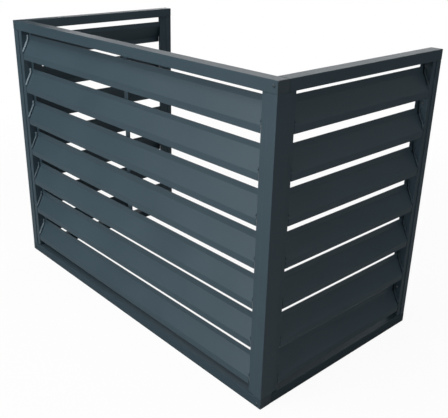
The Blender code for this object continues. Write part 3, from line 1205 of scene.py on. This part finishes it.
@dataclass
class PhotoCamera:
    """The camera at the photograph's angle.

    Its direction is of the kind that facing() takes, and its roll is in degrees. The lens and the
    sensor's width are in millimetres, and the shift is in shares of that width.
    """

    place: tuple[float, float, float] = (1.270998, -1.118367, 0.957812)
    azimuth: float = 48.605
    elevation: float = 22.448
    roll: float = 0.698
    lens: float = 52.771
    sensor: float = 36.0
    shift: Pair = (0.04792, -0.02116)

    def build(self) -> None:
        """Makes the camera and hands it to the scene."""
        data = bpy.data.cameras.new("photo_camera")
        data.sensor_width = self.sensor
        data.sensor_fit = "HORIZONTAL"
        data.lens = self.lens
        data.shift_x, data.shift_y = self.shift
        level, back = facing(self.azimuth, self.elevation)
        roll = math.radians(self.roll)
        right = math.cos(roll) * level + math.sin(roll) * np.cross(back, level)
        camera = linked("photo_camera", data)
        camera.matrix_world = pose_matrix(right, back, np.array(self.place))
        bpy.context.scene.camera = camera


@dataclass
class Studio:
    """A pale floor, an even surround and soft boxes.

    Attributes:
        target: The point that the soft boxes face.
        floor_half: Half the floor's side.
        floor_below: How far the floor lies below the object.
        floor_points: Number of its points along a side.
        floor_colour: Colour with which the floor lights the object.
        shadow_share: How much of its own light and shade the floor shows to the camera.
        shadow_reach: Distances at which that share starts to fall and is gone.
        gloss_share: How much of the white background the gloss shows.
        surround: Level of the surround where it only lights.
        lamps: The soft boxes.
    """

    target: tuple[float, float, float] = (0.0, 0.0, 0.35)
    floor_half: float = 8.0
    floor_below: float = 0.0005
    floor_points: int = 5
    floor_colour: float = 0.36
    shadow_share: float = 0.06
    shadow_reach: Pair = (0.8, 2.4)
    gloss_share: float = 0.02
    surround: float = 0.02
    lamps: list[Lamp] = field(
        default_factory=lambda: [
            Lamp("high_soft_box", 0.0, 55.0, 3.4, 1.8, 1.6, 46.0),
            Lamp("low_soft_box", 2.0, 15.0, 3.4, 1.8, 1.1, 51.0),
            Lamp("left_soft_box", -25.0, 35.0, 3.4, 1.8, 1.6, 15.0),
            Lamp("right_soft_box", 50.0, 40.0, 3.4, 1.8, 1.6, 4.0),
            Lamp("right_strip", 100.0, 20.0, 3.4, 1.8, 1.1, 14.5),
            Lamp("back_left_strip", -140.0, 10.0, 3.4, 3.4, 1.1, 30.0),
            Lamp("back_strip", 150.0, 25.0, 3.4, 1.8, 1.6, 2.5),
            Lamp("back_soft_box", -150.0, 45.0, 3.4, 2.4, 2.0, 16.0),
        ]
    )

    def build(self) -> None:
        """Builds the floor, the surround and the lamps."""
        self._floor()
        self._world()
        for lamp in self.lamps:
            lamp.build(np.array(self.target))
        bpy.context.scene.view_settings.view_transform = "Standard"

    def _floor(self) -> None:
        """A flat floor that shows white, with the object's shadow faintly on it."""
        count = self.floor_points
        side = np.linspace(-self.floor_half, self.floor_half, count)
        x, y = np.meshgrid(side, side)
        points = np.stack([x, y, np.full_like(x, -self.floor_below)], axis=-1).reshape(-1, 3)
        mesh = bpy.data.meshes.new("studio_floor")
        mesh.from_pydata(points.tolist(), [], grid_faces(count, count, False, False).tolist())
        floor = linked("studio_floor", mesh)
        made = bpy.data.materials.new("studio_floor")
        made.use_nodes = True
        mesh.materials.append(made)
        nodes = made.node_tree.nodes
        path = nodes.new("ShaderNodeLightPath")
        tone = {"Value": path.outputs["Is Camera Ray"], "To Min": self.floor_colour}
        matt = {
            "Base Color": wire(nodes.new("ShaderNodeMapRange"), tone).outputs["Result"],
            "Roughness": 1.0,
            "Specular IOR Level": 0.0,
        }
        lit, seen = wire(nodes["Principled BSDF"], matt), nodes.new("ShaderNodeEmission")
        self._mix(path, self._clear_share(made.node_tree), lit, seen, nodes["Material Output"])

    def _clear_share(self, tree: Tree) -> Socket:
        """The camera's share of plain white: less near the object, where its shadow falls.

        Args:
            tree: The floor material's nodes.

        Returns:
            1 - shadow share up to the first distance of the reach, and 1 from the second on.
        """
        place = tree.nodes.new("ShaderNodeTexCoord").outputs["Object"]
        distance = tree.nodes.new("ShaderNodeVectorMath")
        distance.operation = "LENGTH"
        clear = tree.nodes.new("ShaderNodeMapRange")
        clear.interpolation_type = "SMOOTHSTEP"
        near, far = self.shadow_reach
        ends = {"From Min": near, "From Max": far, "To Min": 1 - self.shadow_share, "To Max": 1.0}
        reach = {"Value": wire(distance, {0: place}).outputs["Value"]}
        return wire(clear, {**reach, **ends}).outputs["Result"]

    def _mix(self, path: Node, camera: float | Socket, lit: Node, seen: Node, out: Node) -> None:
        """Shows plain white to the rays that see it, and what lights the object to the others.

        The share of white is camera * is camera ray + gloss share * is glossy ray + is
        transmission ray.

        Args:
            path: The light path node.
            camera: The camera rays' own share of white.
            lit: The shader that lights.
            seen: The white one.
            out: The node that takes the mix.
        """
        nodes = path.id_data.nodes
        white = path.outputs["Is Transmission Ray"]
        for ray, share in (("Is Glossy Ray", self.gloss_share), ("Is Camera Ray", camera)):
            part = nodes.new("ShaderNodeMath")
            part.operation = "MULTIPLY_ADD"
            white = wire(part, {0: path.outputs[ray], 1: share, 2: white}).outputs[0]
        shaders = {0: white, 1: lit.outputs[0], 2: seen.outputs[0]}
        wire(out, {"Surface": wire(nodes.new("ShaderNodeMixShader"), shaders).outputs[0]})

    def _world(self) -> None:
        """White where it is seen, and the surround's level where it lights."""
        world = bpy.data.worlds.new("studio_surround")
        bpy.context.scene.world = world
        world.use_nodes = True
        nodes = world.node_tree.nodes
        lit = wire(nodes["Background"], {"Color": WHITE, "Strength": self.surround})
        seen = wire(nodes.new("ShaderNodeBackground"), {"Color": WHITE})
        self._mix(nodes.new("ShaderNodeLightPath"), 1.0, lit, seen, nodes["World Output"])


def main() -> None:
    """Builds the screen's sub-assemblies in order, then the studio and the camera."""
    logging.basicConfig(level=logging.INFO, format="%(message)s")
    stands = standpoints()
    Posts().build()
    for side, ends in HOLDER_ENDS.items():
        RailPair(stands[side]).build()
        SlatHolders(stands[side], ends, highlit=HIGHLIT_HOLDERS).build()
        SlatBank(stands[side], play=SLAT_PLAY[side], lip_rises=LIP_RISES[side]).build()
    Stiffener().build()
    CornerScrews().build()
    RailCaps().build()
    Studio().build()
    PhotoCamera().build()


if __name__ == "__main__":
    main()
